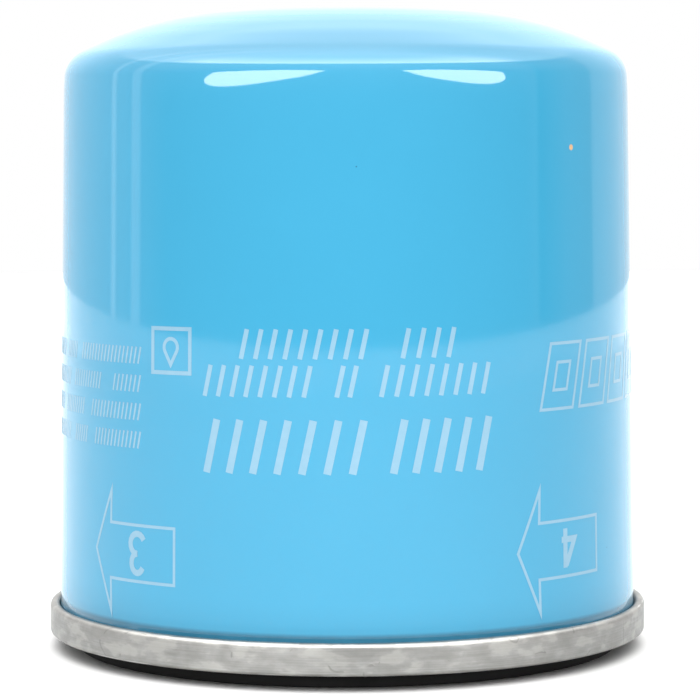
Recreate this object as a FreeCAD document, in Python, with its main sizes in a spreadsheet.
import FreeCAD, Part
import math
import os
import Sketcher
from FreeCAD import Placement, Rotation, Vector

# Spin-on oil filter, standing on its gasket. Millimetres, +Z up, axis of symmetry on Z.
# The origin is the centre of the gasket's sealing face, so the threaded end is at z = 0
# and the closed, domed end is at the top.

doc = FreeCAD.newDocument("oil_filter")
sheet = doc.addObject("Spreadsheet::Sheet", "Sizes")

# Each row is one size that can be changed by itself: alias, value, what it measures.
DRIVING_SIZES = [
    ("overall_height", 83.2, "gasket face to the crown of the can"),
    ("can_diameter", 76.0, "outside of the can just above the seam"),
    ("can_draft", 1.1, "radius that the can's wall loses between seam and dome"),
    ("can_sheet", 0.43, "steel of the can"),
    ("wall_straight", 1.0, "wall above the seam, before its draft begins"),
    ("dome_drop", 6.3, "crown down to where wall and dome lines meet"),
    ("dome_slope_width", 12.9, "radial width of the sloping rim of the dome"),
    ("dome_radius", 52.0, "bend from the flat crown into the slope"),
    ("shoulder_radius", 4.0, "bend from the slope into the wall"),
    ("lid_sheet", 0.43, "steel of the seaming lid"),
    ("seam_height", 4.0, "bottom of the seam to its top fold"),
    ("seam_gap", 0.025, "play between the layers of the seam"),
    ("seam_bend", 0.6, "outside bend of the seam's folds"),
    ("hook_bend", 0.1, "inside bend of the can's hook"),
    ("hook_play", 0.1, "end of each hook to the fold it points into"),
    ("sealant_depth", 0.25, "seaming compound under the can's hook"),
    ("sealant_inset", 0.18, "seaming compound to the walls beside it"),
    ("gasket_inset", 2.25, "outside of the can to outside of the gasket"),
    ("gasket_width", 4.75, "radial width of the gasket"),
    ("gasket_height", 5.0, "free height of the gasket"),
    ("gasket_stand_out", 1.9, "gasket face to the bottom of the seam"),
    ("gasket_edge", 0.4, "rounding of the gasket's edges"),
    ("groove_play", 0.17, "gap between gasket and groove wall"),
    ("groove_bend", 0.2, "inside bends of the groove's floor"),
    ("groove_lip_lift", 2.4, "gasket face to the free edge of the groove's inner lip"),
    ("chuck_slope_drop", 1.6, "height of the slope between groove floor and chuck wall"),
    ("chuck_bend", 0.5, "bend from that slope into the chuck wall"),
    ("plate_thickness", 3.0, "base plate"),
    ("plate_edge", 0.5, "rounding of the base plate's rim"),
    ("plate_play", 0.17, "gap between base plate and can"),
    ("thread_bore", 18.38, "minor diameter of the M20 x 1.5 thread"),
    ("thread_lead_in", 0.9, "chamfer at both ends of the thread"),
    ("hub_wall", 3.2, "wall of the threaded hub"),
    ("hub_height", 5.5, "hub above the base plate"),
    ("hub_root", 1.2, "rounding between hub and base plate"),
    ("inlet_hole_diameter", 5.6, "oil inlet hole"),
    ("inlet_distance", 9.11, "hub to the middle of an inlet hole"),
    ("inlet_count", 8, "number of inlet holes"),
    ("valve_play", 0.05, "rubber collar to the hub"),
    ("valve_wall", 2.1, "collar of the rubber valve"),
    ("valve_collar_lift", 1.6, "inside of the collar above the base plate"),
    ("valve_skirt_root", 3.0, "top of the skirt at the collar, above the base plate"),
    ("valve_fillet", 1.0, "rounding between skirt and collar"),
    ("valve_cover", 2.7, "edge of an inlet hole to the lip's land"),
    ("valve_lip_land", 2.0, "width of lip that lies on the base plate"),
    ("valve_lip_thickness", 0.7, "edge of the lip"),
    ("valve_seat_thickness", 1.5, "rubber ring between hub and element"),
    ("valve_seat_reach", 1.5, "how far that ring lies on the hub"),
    ("valve_seat_overlap", 2.69, "how far that ring lies under the lower end cap"),
    ("element_gap", 3.47, "end caps of the element to the top of the can's wall"),
    ("cap_sheet", 0.4, "steel of the end caps"),
    ("cap_rim", 4.5, "height of an end cap's rim"),
    ("cap_bend", 1.2, "outside bend of an end cap's rim"),
    ("cap_neck_height", 3.0, "neck of the lower end cap"),
    ("cap_neck_bend", 0.8, "outside bend of the neck"),
    ("neck_play", 0.1, "neck to the inside of the centre tube"),
    ("potting_depth", 1.2, "adhesive in an end cap"),
    ("tube_diameter", 31.0, "outside of the centre tube"),
    ("tube_sheet", 0.4, "steel of the centre tube"),
    ("tube_lift", 0.45, "lower cap's floor to the tube, clear of the neck's bend"),
    ("tube_hole_diameter", 3.2, "perforation"),
    ("tube_hole_pairs", 4, "holes through both walls in each row"),
    ("tube_hole_rows", 9, "rows of perforations"),
    ("tube_margin", 7.0, "tube end to the first row"),
    ("paper_thickness", 0.6, "filter paper"),
    ("paper_gap", 0.8, "paper to centre tube, and to the caps' rims"),
    ("pleat_count", 52, "folds of the paper"),
    ("clip_sheet", 0.35, "steel of the paper's seam clip"),
    ("clip_depth", 5.0, "radial depth of the clip"),
    ("clip_play", 0.1, "gap between the clip and the fold inside it"),
    ("cage_diameter", 22.8, "outside of the bypass cage"),
    ("cage_sheet", 0.6, "steel of the bypass cage"),
    ("cage_depth", 13.0, "upper end cap to the cage's floor, outside"),
    ("cage_bend", 0.9, "inside bend of the flange"),
    ("cage_floor_bend", 0.3, "inside bend of the floor"),
    ("cage_play", 0.2, "flange of the cage to the centre tube"),
    ("window_width", 8.0, "window in the cage's wall"),
    ("window_height", 6.0, "window in the cage's wall"),
    ("window_lift", 2.0, "window above the cage's floor"),
    ("window_count", 3, "windows in the cage"),
    ("poppet_play", 1.4, "gap between disc and cage"),
    ("poppet_overlap", 1.9, "width of rubber face that lies on the upper end cap"),
    ("poppet_sheet", 0.6, "steel of the disc"),
    ("poppet_rim", 2.2, "rim of the disc that centres the spring"),
    ("poppet_bend", 0.9, "outside bend of that rim"),
    ("seal_thickness", 1.4, "rubber face of the disc"),
    ("seal_edge", 0.3, "rounding of the rubber face"),
    ("seal_touch", 0.02, "rubber face to its seat at rest"),
    ("stem_diameter", 4.0, "stem of the bypass valve"),
    ("stem_play", 0.06, "running clearance of the stem in the cage's floor"),
    ("stem_end", 2.5, "stem below the cage's floor"),
    ("stem_nose", 0.5, "rounding of the stem's end"),
    ("stem_head_diameter", 8.0, "riveted head of the stem"),
    ("stem_head_height", 1.0, "riveted head of the stem"),
    ("stem_head_edge", 0.8, "rounding of the riveted head"),
    ("bypass_wire", 1.0, "wire of the bypass spring"),
    ("bypass_coil_play", 1.1, "gap between the bypass spring and the disc's rim"),
    ("bypass_turns", 4.5, "turns of the bypass spring"),
    ("seat_sheet", 0.5, "steel of the spring seat"),
    ("seat_play", 0.45, "gap between the support spring and the seat's rims"),
    ("seat_rim", 2.0, "height of the spring seat's rims"),
    ("seat_bend", 0.8, "outside bends of the spring seat"),
    ("support_wire", 2.0, "wire of the support spring"),
    ("support_coil", 29.5, "mean diameter of the support spring"),
    ("support_turns", 3.0, "turns of the support spring"),
    ("support_height", 10.69, "length of the support spring as fitted"),
    ("spring_touch", 0.15, "support spring to the can's crown"),
]


class Size:
    """A length kept as a sheet expression, so that sums of sizes follow the sheet."""

    def __init__(self, text):
        self.text = str(text)

    def __str__(self):
        return self.text

    def __add__(self, other):
        return Size(f"({self} + {other})")

    def __sub__(self, other):
        return Size(f"({self} - {other})")

    def __mul__(self, factor):
        return Size(f"({self} * {factor})")

    def __truediv__(self, divisor):
        return Size(f"({self} / {divisor})")

    def __float__(self):
        return float(sheet.evalExpression(self.text))


def fill_sheet():
    """Write each driving size into column B, under its alias."""
    for row, (alias, number, meaning) in enumerate(DRIVING_SIZES, start=1):
        sheet.set(f"A{row}", meaning)
        sheet.set(f"B{row}", str(number))
        sheet.setAlias(f"B{row}", alias)
    doc.recompute()


def cell(alias):
    return Size(f"Sizes.{alias}")


def half(alias):
    return cell(alias) / 2


# Drawing outlines. A corner is (radius, height) or (radius, height, bend radius).

def unit(start, end):
    return (end - start).normalize()


def left_of(direction):
    return Vector(-direction.y, direction.x, 0)


def hold(sketch, size, *constraint):
    """Add a constraint whose value is read from the sheet."""
    index = sketch.addConstraint(Sketcher.Constraint(*constraint, float(size)))
    sketch.setExpression(f"Constraints[{index}]", str(size))


def bend_arc(previous, point, following, radius):
    """Arc that rounds the corner at point, with its two ends and the way it turns."""
    arriving = unit(previous, point)
    leaving = unit(point, following)
    tangent = radius * math.tan(arriving.getAngle(leaving) / 2)
    start = point - arriving * tangent
    end = point + leaving * tangent
    turns_left = arriving.cross(leaving).z > 0
    centre = start + left_of(arriving) * (radius if turns_left else -radius)
    first, last = (start, end) if turns_left else (end, start)
    circle = Part.Circle(centre, Vector(0, 0, 1), radius)
    arc = Part.ArcOfCircle(circle, circle.parameter(first), circle.parameter(last))
    return arc, start, end, turns_left


def draw_run(sketch, points, bends, closed):
    """Straight lines from point to point, with a tangent arc where a bend radius is given."""
    count = len(points)
    arcs = {}
    for index, bend in enumerate(bends):
        if bend is not None:
            arcs[index] = bend_arc(points[index - 1], points[index], points[(index + 1) % count],
                                   float(bend))
    lines = []
    for index in range(count if closed else count - 1):
        following = (index + 1) % count
        start = arcs[index][2] if index in arcs else points[index]
        end = arcs[following][1] if following in arcs else points[following]
        lines.append(sketch.addGeometry(Part.LineSegment(start, end), False))
    for index in range(0 if closed else 1, len(lines)):
        arriving, leaving = lines[index - 1], lines[index]
        if index not in arcs:
            sketch.addConstraint(Sketcher.Constraint("Coincident", arriving, 2, leaving, 1))
            continue
        arc, _, _, turns_left = arcs[index]
        first, last = (1, 2) if turns_left else (2, 1)
        curve = sketch.addGeometry(arc, False)
        sketch.addConstraint(Sketcher.Constraint("Tangent", arriving, 2, curve, first))
        sketch.addConstraint(Sketcher.Constraint("Tangent", curve, last, leaving, 1))
        hold(sketch, bends[index], "Radius", curve)
    return lines


def hold_corners(sketch, corners, points, lines):
    """Keep each corner at its radius and height; a rounded one by the point its lines aim at."""
    for index, corner in enumerate(corners):
        if len(corner) == 3:
            geometry, end = sketch.addGeometry(Part.Point(points[index]), True), 1
            for line in (lines[index - 1], lines[index]):
                sketch.addConstraint(Sketcher.Constraint("PointOnObject", geometry, 1, line))
        elif index < len(lines):
            geometry, end = lines[index], 1
        else:
            geometry, end = lines[-1], 2
        hold(sketch, corner[0], "DistanceX", -1, 1, geometry, end)
        hold(sketch, corner[1], "DistanceY", -1, 1, geometry, end)


def corner_points(corners):
    return [Vector(float(corner[0]), float(corner[1]), 0) for corner in corners]


def corner_bends(corners):
    return [corner[2] if len(corner) == 3 else None for corner in corners]


def body_sketch(body, name, role):
    """Sketch on one of the body's own origin planes."""
    sketch = body.newObject("Sketcher::SketchObject", name)
    plane = next(item for item in body.Origin.OriginFeatures if item.Role == role)
    sketch.AttachmentSupport = [(plane, "")]
    sketch.MapMode = "FlatFace"
    return sketch


def turn_once(body, sketch):
    """Turn the sketch once about its vertical axis, which is the filter's axis."""
    turning = body.newObject("PartDesign::Revolution", body.Name + "_turning")
    turning.Profile = sketch
    turning.ReferenceAxis = (sketch, ["V_Axis"])
    turning.Angle = 360
    body.Tip = turning
    doc.recompute()
    return body


def turned_body(name, corners):
    """Solid piece of revolution, from its closed outline."""
    body = doc.addObject("PartDesign::Body", name)
    sketch = body_sketch(body, name + "_outline", "XZ_Plane")
    points = corner_points(corners)
    lines = draw_run(sketch, points, corner_bends(corners), closed=True)
    hold_corners(sketch, corners, points, lines)
    return turn_once(body, sketch)


def pressed_sheet(name, corners, thickness, side):
    """Piece pressed from sheet: one face is drawn, the other lies a thickness to its side.

    side is 1 where the metal is on the left of the drawn face, -1 where it is on the right.
    """
    body = doc.addObject("PartDesign::Body", name)
    sketch = body_sketch(body, name + "_section", "XZ_Plane")
    points = corner_points(corners)
    bends = corner_bends(corners)
    face = draw_run(sketch, points, bends, closed=False)
    hold_corners(sketch, corners, points, face)
    directions = [unit(start, end) for start, end in zip(points, points[1:])]
    offset = float(thickness) * side
    back_points = []
    back_bends = []
    for index, point in enumerate(points):
        before = directions[max(index - 1, 0)]
        after = directions[min(index, len(directions) - 1)]
        mitre = (left_of(before) + left_of(after)) * (offset / (1 + before.dot(after)))
        back_points.append(point + mitre)
        towards_metal = before.cross(after).z * side > 0
        back_bends.append(bends[index] and (bends[index] - thickness if towards_metal
                                            else bends[index] + thickness))
    back = draw_run(sketch, back_points, back_bends, closed=False)
    for line, back_line in zip(face, back):
        sketch.addConstraint(Sketcher.Constraint("Parallel", line, back_line))
        hold(sketch, thickness, "Distance", back_line, 1, line)
    for line, back_line, end in ((face[0], back[0], 1), (face[-1], back[-1], 2)):
        edge_ends = [points[0], back_points[0]] if end == 1 else [points[-1], back_points[-1]]
        edge = sketch.addGeometry(Part.LineSegment(*edge_ends), False)
        sketch.addConstraint(Sketcher.Constraint("Coincident", edge, 1, line, end))
        sketch.addConstraint(Sketcher.Constraint("Coincident", edge, 2, back_line, end))
        sketch.addConstraint(Sketcher.Constraint("Perpendicular", edge, line))
    return turn_once(body, sketch)


TURNS_PER_FACE = 1


def coil(name, bottom, top, wire, mean_diameter, turns):
    """Compression spring whose wire just fits between the bottom and top heights.

    Each turn is a face of its own, because one long twisting face meshes badly.
    """
    rise = top - bottom - wire
    first_turn = bottom + wire / 2
    spine = doc.addObject("Part::Helix", name + "_spine")
    spine.SegmentLength = TURNS_PER_FACE
    spine.setExpression("Radius", str(mean_diameter / 2))
    spine.setExpression("Pitch", str(rise / turns))
    spine.setExpression("Height", str(rise))
    spine.setExpression("Placement.Base.z", str(first_turn))
    section = doc.addObject("Part::Circle", name + "_wire")
    section.Placement = Placement(Vector(), Rotation(Vector(1, 0, 0), 90))
    section.setExpression("Radius", str(wire / 2))
    section.setExpression("Placement.Base.x", str(mean_diameter / 2))
    section.setExpression("Placement.Base.z", str(first_turn))
    spring = doc.addObject("Part::Sweep", name)
    spring.Sections = [section]
    spring.Spine = (spine, [])
    spring.Solid = True
    spring.Frenet = True
    doc.recompute()
    return spring


# Radii and heights that more than one piece reads, worked out from the driving sizes.
fill_sheet()
axis = Size(0)
can_radius = half("can_diameter")
can_inner = can_radius - cell("can_sheet")
can_top_radius = can_radius - cell("can_draft")
seam_bottom = cell("gasket_stand_out")
seam_top = seam_bottom + cell("seam_height")
lid_hook_inner = can_radius + cell("seam_gap")
can_hook_inner = lid_hook_inner + cell("lid_sheet") + cell("seam_gap")
seam_inner = can_hook_inner + cell("can_sheet") + cell("seam_gap")
seam_radius = seam_inner + cell("lid_sheet")
can_bottom = seam_bottom + cell("lid_sheet") + cell("sealant_depth")
gasket_outer = can_radius - cell("gasket_inset")
gasket_inner = gasket_outer - cell("gasket_width")
groove_floor = cell("gasket_height")
plate_bottom = groove_floor + cell("lid_sheet")
plate_top = plate_bottom + cell("plate_thickness")
bore_radius = half("thread_bore")
hub_radius = bore_radius + cell("hub_wall")
hub_top = plate_top + cell("hub_height")
inlet_circle = hub_radius + cell("inlet_distance")
valve_collar = hub_radius + cell("valve_wall")
crown_underside = cell("overall_height") - cell("can_sheet")
support_top = crown_underside - cell("spring_touch")
support_bottom = support_top - cell("support_height")
element_bottom = hub_top + cell("valve_seat_thickness")
element_top = support_bottom - cell("seat_sheet")
cap_radius = can_top_radius - cell("can_sheet") - cell("element_gap")
tube_radius = half("tube_diameter")
tube_inner = tube_radius - cell("tube_sheet")
neck_radius = tube_inner - cell("neck_play") - cell("cap_sheet")
tube_bottom = element_bottom + cell("cap_sheet") + cell("tube_lift")
cap_underside = element_top - cell("cap_sheet")
paper_bottom = element_bottom + cell("cap_sheet") + cell("potting_depth")
paper_top = cap_underside - cell("potting_depth")
paper_inner = tube_radius + cell("paper_gap")
paper_outer = cap_radius - cell("cap_sheet") - cell("paper_gap")
cage_floor = cap_underside - cell("cage_depth") + cell("cage_sheet")
cage_inner = half("cage_diameter") - cell("cage_sheet")
stem_radius = half("stem_diameter")
poppet_radius = cage_inner - cell("poppet_play")
seal_top = cap_underside - cell("seal_touch")
poppet_top = seal_top - cell("seal_thickness")


def make_can_shell():
    """Painted can, drawn on its outer face: crown, dome, wall, then the hook in the seam."""
    shoulder = cell("overall_height") - cell("dome_drop")
    fold = can_bottom + cell("can_sheet")
    hook_top = seam_top - cell("lid_sheet") - cell("hook_play")
    return pressed_sheet("can_shell", [
        (axis, cell("overall_height")),
        (can_top_radius - cell("dome_slope_width"), cell("overall_height"), cell("dome_radius")),
        (can_top_radius, shoulder, cell("shoulder_radius")),
        (can_radius, seam_top + cell("wall_straight")),
        (can_radius, fold, cell("hook_bend")),
        (can_hook_inner, fold, cell("hook_bend")),
        (can_hook_inner, hook_top),
    ], cell("can_sheet"), -1)


def make_seaming_lid():
    """Lid drawn on its outer face: groove lip, groove floor, chuck wall, seam and hook."""
    lip = gasket_inner - cell("groove_play")
    chuck_wall = can_inner - cell("seam_gap") - cell("lid_sheet")
    bend = cell("seam_bend")
    hook_end = can_bottom + cell("can_sheet") + cell("hook_play")
    return pressed_sheet("seaming_lid", [
        (lip, cell("groove_lip_lift")),
        (lip, groove_floor, cell("groove_bend")),
        (gasket_outer + cell("groove_play"), groove_floor, cell("groove_bend")),
        (chuck_wall, groove_floor - cell("chuck_slope_drop"), cell("chuck_bend")),
        (chuck_wall, seam_bottom, bend),
        (seam_radius, seam_bottom, bend),
        (seam_radius, seam_top, bend),
        (lid_hook_inner, seam_top, bend),
        (lid_hook_inner, hook_end),
    ], cell("lid_sheet"), 1)


def make_seam_sealant():
    """Ring of seaming compound between the bottom of the seam and the can's hook."""
    inner = can_inner + cell("sealant_inset")
    outer = seam_inner - cell("sealant_inset")
    bottom = seam_bottom + cell("lid_sheet")
    return turned_body("seam_sealant", [
        (inner, bottom), (outer, bottom), (outer, can_bottom), (inner, can_bottom)])


def make_sealing_gasket():
    """Square-section rubber ring, from its sealing face up to the floor of the groove."""
    edge = cell("gasket_edge")
    return turned_body("sealing_gasket", [
        (gasket_inner, Size(0), edge), (gasket_outer, Size(0), edge),
        (gasket_outer, groove_floor, edge), (gasket_inner, groove_floor, edge)])


def make_base_plate():
    """Thick plate with the tapped hub drawn up from its middle, and the inlet holes."""
    rim = can_inner - cell("plate_play")
    edge = cell("plate_edge")
    lead = cell("thread_lead_in")
    body = turned_body("base_plate", [
        (bore_radius, plate_bottom + lead),
        (bore_radius + lead, plate_bottom),
        (rim, plate_bottom, edge),
        (rim, plate_top, edge),
        (hub_radius, plate_top, cell("hub_root")),
        (hub_radius, hub_top, edge),
        (bore_radius + lead, hub_top),
        (bore_radius, hub_top - lead),
    ])
    circle = body_sketch(body, "inlet_circle_sketch", "XY_Plane")
    hole_radius = half("inlet_hole_diameter")
    hole = circle.addGeometry(Part.Circle(Vector(float(inlet_circle), 0, 0), Vector(0, 0, 1),
                                          float(hole_radius)), False)
    circle.addConstraint(Sketcher.Constraint("PointOnObject", hole, 3, -1))
    hold(circle, inlet_circle, "DistanceX", -1, 1, hole, 3)
    hold(circle, hole_radius, "Radius", hole)
    pocket = body.newObject("PartDesign::Pocket", "inlet_hole")
    pocket.Profile = circle
    pocket.Type = "ThroughAll"
    pocket.Midplane = True
    body.Tip = pocket
    doc.recompute()
    pattern = body.newObject("PartDesign::PolarPattern", "inlet_holes")
    pattern.Originals = [pocket]
    pattern.Axis = (circle, ["N_Axis"])
    pattern.Angle = 360
    pattern.setExpression("Occurrences", str(cell("inlet_count")))
    body.Tip = pattern
    doc.recompute()
    return body


def make_anti_drainback_valve():
    """One rubber moulding: seat ring on the hub, collar around it, skirt over the holes."""
    collar_inner = hub_radius + cell("valve_play")
    land = inlet_circle + half("inlet_hole_diameter") + cell("valve_cover")
    lip = land + cell("valve_lip_land")
    seat_inner = hub_radius - cell("valve_seat_reach")
    seat_rim = neck_radius + cell("valve_seat_overlap")
    return turned_body("anti_drainback_valve", [
        (seat_inner, hub_top),
        (collar_inner, hub_top),
        (collar_inner, plate_top + cell("valve_collar_lift")),
        (land, plate_top),
        (lip, plate_top),
        (lip, plate_top + cell("valve_lip_thickness")),
        (valve_collar, plate_top + cell("valve_skirt_root"), cell("valve_fillet")),
        (valve_collar, hub_top),
        (seat_rim, hub_top),
        (seat_rim, element_bottom),
        (seat_inner, element_bottom),
    ])


def make_lower_end_cap():
    """Trough-shaped cap: neck inside the tube, floor, rim around the paper."""
    bend = cell("cap_bend")
    return pressed_sheet("lower_end_cap", [
        (neck_radius, element_bottom + cell("cap_neck_height")),
        (neck_radius, element_bottom, cell("cap_neck_bend")),
        (cap_radius, element_bottom, bend),
        (cap_radius, element_bottom + cell("cap_rim")),
    ], cell("cap_sheet"), 1)


def make_upper_end_cap():
    """Flat cap with the bypass opening in its middle and a rim around the paper."""
    return pressed_sheet("upper_end_cap", [
        (poppet_radius - cell("poppet_overlap"), element_top),
        (cap_radius, element_top, cell("cap_bend")),
        (cap_radius, element_top - cell("cap_rim")),
    ], cell("cap_sheet"), -1)


def make_lower_potting():
    """Adhesive that fills the bottom of the lower cap around the tube."""
    bottom = element_bottom + cell("cap_sheet")
    outer = cap_radius - cell("cap_sheet")
    return turned_body("lower_potting", [
        (tube_radius, bottom), (outer, bottom, cell("cap_bend") - cell("cap_sheet")),
        (outer, paper_bottom), (tube_radius, paper_bottom)])


def make_upper_potting():
    """Adhesive that fills the top of the upper cap around the tube."""
    outer = cap_radius - cell("cap_sheet")
    return turned_body("upper_potting", [
        (tube_radius, paper_top), (outer, paper_top),
        (outer, cap_underside, cell("cap_bend") - cell("cap_sheet")), (tube_radius, cap_underside)])


def make_centre_tube():
    """Tube with staggered rows of holes; each drill passes right through, so makes two."""
    tube = doc.addObject("Part::Cylinder", "tube_blank")
    tube.setExpression("Radius", str(tube_radius))
    tube.setExpression("Height", str(cap_underside - tube_bottom))
    tube.setExpression("Placement.Base.z", str(tube_bottom))
    bore = doc.addObject("Part::Cylinder", "tube_bore")
    bore.setExpression("Radius", str(tube_inner))
    bore.setExpression("Height", str(cap_underside - tube_bottom))
    bore.setExpression("Placement.Base.z", str(tube_bottom))
    rows = int(float(cell("tube_hole_rows")))
    row_step = (cap_underside - tube_bottom - cell("tube_margin") * 2) / (rows - 1)
    drills_per_row = int(float(cell("tube_hole_pairs")))
    drills = [bore]
    for row in range(rows):
        for turn in range(drills_per_row):
            drill = doc.addObject("Part::Cylinder", f"tube_drill_{row}_{turn}")
            drill.setExpression("Radius", str(half("tube_hole_diameter")))
            drill.setExpression("Height", str(cell("tube_diameter") * 2))
            angle = (turn + (row % 2) / 2) * 180 / drills_per_row
            across = Rotation(Vector(0, 0, 1), angle).multVec(Vector(1, 0, 0))
            drill.Placement = Placement(Vector(), Rotation(Vector(0, 0, 1), across))
            drill.setExpression("Placement.Base.x", f"{-across.x} * {cell('tube_diameter')}")
            drill.setExpression("Placement.Base.y", f"{-across.y} * {cell('tube_diameter')}")
            drill.setExpression("Placement.Base.z", str(tube_bottom + cell("tube_margin") + row_step * row))
            drills.append(drill)
    drilled = doc.addObject("Part::MultiFuse", "tube_drills")
    drilled.Shapes = drills
    finished = doc.addObject("Part::Cut", "centre_tube")
    finished.Base = tube
    finished.Tool = drilled
    doc.recompute()
    return finished


def paper_skin(offset):
    """One face of the folded paper: radial legs joined by round folds, as a closed wire.

    The legs stand evenly round the axis. offset moves the face outwards from the middle of
    the paper: half a thickness for the dirty side, minus half for the clean side.
    """
    pleats = int(float(cell("pleat_count")))
    half_paper = float(half("paper_thickness"))
    outer = float(paper_outer) - half_paper
    inner = float(paper_inner) + half_paper
    half_step = math.pi / (2 * pleats)
    edges = []
    start = last_end = None
    for fold in range(2 * pleats):
        outward = 1 if fold % 2 == 0 else -1
        middle = outer if outward == 1 else inner
        spread = middle * math.sin(half_step)
        turned = Rotation(Vector(0, 0, 1), math.degrees(2 * half_step * fold))
        leg_end = middle - outward * spread
        width = spread + outward * offset
        before, tip, after = [turned.multVec(Vector(*place, 0)) for place in
                              ((leg_end, -width), (middle + offset, 0), (leg_end, width))]
        if last_end is None:
            start = before
        else:
            edges.append(Part.LineSegment(last_end, before).toShape())
        edges.append(Part.Arc(before, tip, after).toShape())
        last_end = after
    edges.append(Part.LineSegment(last_end, start).toShape())
    return Part.Wire(edges)


def make_pleated_media():
    """Paper folded to and fro between an inner and an outer circle, closed into a ring."""
    half_paper = float(half("paper_thickness"))
    skins = [paper_skin(half_paper), paper_skin(-half_paper)]
    section = Part.makeFace(skins, "Part::FaceMakerBullseye")
    media = doc.addObject("Part::Feature", "pleated_media")
    media.Shape = section.extrude(Vector(0, 0, float(paper_top - paper_bottom)))
    media.setExpression("Placement.Base.z", str(paper_bottom))
    doc.recompute()
    return media


def make_media_seam_clip():
    """U-shaped strip over one outer fold of the paper, from potting to potting."""
    fold = (paper_outer - half("paper_thickness")) * Size(f"sin(90 / {cell('pleat_count')})")
    slot_width = fold * 2 + cell("paper_thickness") + cell("clip_play") * 2
    width = slot_width + cell("clip_sheet") * 2
    crown = paper_outer + cell("clip_play") + cell("clip_sheet")
    height = paper_top - paper_bottom
    solids = []
    for name, box_width, outer_end in (("clip_strip", width, crown),
                                       ("clip_slot", slot_width, crown - cell("clip_sheet"))):
        solid = doc.addObject("Part::Box", name)
        solid.setExpression("Length", str(cell("clip_depth")))
        solid.setExpression("Width", str(box_width))
        solid.setExpression("Height", str(height))
        solid.setExpression("Placement.Base.x", str(outer_end - cell("clip_depth")))
        solid.setExpression("Placement.Base.y", f"-{box_width / 2}")
        solid.setExpression("Placement.Base.z", str(paper_bottom))
        solids.append(solid)
    clip = doc.addObject("Part::Cut", "media_seam_clip")
    clip.Base, clip.Tool = solids
    doc.recompute()
    return clip


def make_bypass_cage():
    """Stamped cup under the upper cap: flange, windowed wall, floor that guides the stem."""
    cup = pressed_sheet("cage_cup", [
        (tube_inner - cell("cage_play"), cap_underside),
        (cage_inner, cap_underside, cell("cage_bend")),
        (cage_inner, cage_floor, cell("cage_floor_bend")),
        (stem_radius + cell("stem_play"), cage_floor),
    ], cell("cage_sheet"), 1)
    count = int(float(cell("window_count")))
    windows = []
    for turn in range(count):
        window = doc.addObject("Part::Box", f"cage_window_{turn}")
        turned = Rotation(Vector(0, 0, 1), turn * 360 / count)
        along = turned.multVec(Vector(1, 0, 0))
        across = turned.multVec(Vector(0, 1, 0))
        window.Placement = Placement(Vector(), turned)
        window.setExpression("Length", str(cell("cage_diameter")))
        window.setExpression("Width", str(cell("window_width")))
        window.setExpression("Height", str(cell("window_height")))
        reach = cage_inner / 2
        window.setExpression("Placement.Base.x",
                             f"{along.x} * {reach} - {across.x} * {half('window_width')}")
        window.setExpression("Placement.Base.y",
                             f"{along.y} * {reach} - {across.y} * {half('window_width')}")
        window.setExpression("Placement.Base.z", str(cage_floor + cell("window_lift")))
        windows.append(window)
    openings = doc.addObject("Part::MultiFuse", "cage_windows")
    openings.Shapes = windows
    cage = doc.addObject("Part::Cut", "bypass_cage")
    cage.Base = cup
    cage.Tool = openings
    doc.recompute()
    return cage


def make_bypass_disc():
    """Stamped disc of the valve, with a rim turned down to centre the spring."""
    return pressed_sheet("bypass_disc", [
        (stem_radius, poppet_top),
        (poppet_radius, poppet_top, cell("poppet_bend")),
        (poppet_radius, poppet_top - cell("poppet_rim")),
    ], cell("poppet_sheet"), -1)


def make_bypass_seal():
    """Rubber face that lies against the underside of the upper cap."""
    return turned_body("bypass_seal", [
        (stem_radius, poppet_top), (poppet_radius, poppet_top, cell("seal_edge")),
        (poppet_radius, seal_top, cell("seal_edge")), (stem_radius, seal_top)])


def make_bypass_stem():
    """Rivet that holds disc and rubber together and slides in the cage's floor."""
    stem_bottom = cage_floor - cell("cage_sheet") - cell("stem_end")
    head = half("stem_head_diameter")
    head_top = seal_top + cell("stem_head_height")
    return turned_body("bypass_stem", [
        (axis, stem_bottom),
        (stem_radius, stem_bottom, cell("stem_nose")),
        (stem_radius, seal_top),
        (head, seal_top),
        (head, head_top, cell("stem_head_edge")),
        (axis, head_top),
    ])


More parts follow.
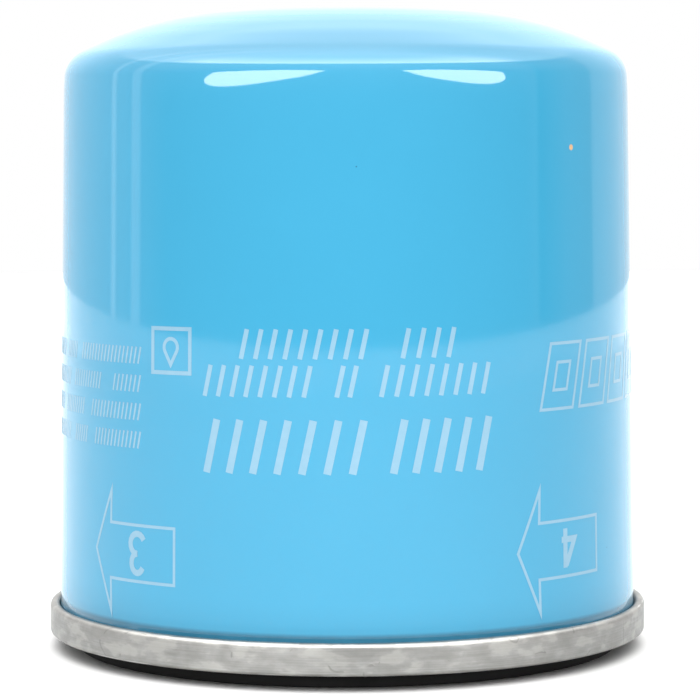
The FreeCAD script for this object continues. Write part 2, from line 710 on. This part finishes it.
def make_bypass_spring():
    """Coil spring between the cage's floor and the disc."""
    coil_outer = poppet_radius - cell("poppet_sheet") - cell("bypass_coil_play")
    return coil("bypass_spring", cage_floor, poppet_top - cell("poppet_sheet"),
                cell("bypass_wire"), coil_outer * 2 - cell("bypass_wire"), cell("bypass_turns"))


def make_spring_seat():
    """Stamped ring on the upper cap whose two rims centre the support spring."""
    rim_top = element_top + cell("seat_rim")
    reach = half("support_wire") + cell("seat_play") + cell("seat_sheet")
    inner = half("support_coil") - reach
    outer = half("support_coil") + reach
    bend = cell("seat_bend")
    return pressed_sheet("spring_seat", [
        (inner, rim_top), (inner, element_top, bend),
        (outer, element_top, bend), (outer, rim_top)], cell("seat_sheet"), 1)


def make_support_spring():
    """Coil spring between the crown of the can and the spring seat."""
    return coil("support_spring", support_bottom, support_top,
                cell("support_wire"), cell("support_coil"), cell("support_turns"))


def main():
    pieces = [
        make_can_shell(),
        make_seaming_lid(),
        make_seam_sealant(),
        make_sealing_gasket(),
        make_base_plate(),
        make_anti_drainback_valve(),
        make_lower_end_cap(),
        make_upper_end_cap(),
        make_lower_potting(),
        make_upper_potting(),
        make_centre_tube(),
        make_pleated_media(),
        make_media_seam_clip(),
        make_bypass_cage(),
        make_bypass_disc(),
        make_bypass_seal(),
        make_bypass_stem(),
        make_bypass_spring(),
        make_spring_seat(),
        make_support_spring(),
    ]
    doc.recompute()
    for thing in doc.Objects:
        if {"Invalid", "Error"} & set(thing.State):
            raise RuntimeError(f"{thing.Name} could not be worked out: {thing.State}")
    for piece in pieces:
        if piece.Shape.isNull() or not piece.Shape.isValid() or not piece.Shape.Solids:
            raise RuntimeError(f"{piece.Label} has no sound solid")
    os.makedirs("parts", exist_ok=True)
    for piece in pieces:
        box = piece.Shape.BoundBox
        print(f"{piece.Label:22s} {piece.Shape.Volume:10.1f} mm3  solids {len(piece.Shape.Solids)}"
              f"  radius {box.XMax:6.2f}  z {box.ZMin:6.2f} to {box.ZMax:6.2f}")
        piece.Shape.exportStep(f"parts/{piece.Label}.step")


main()
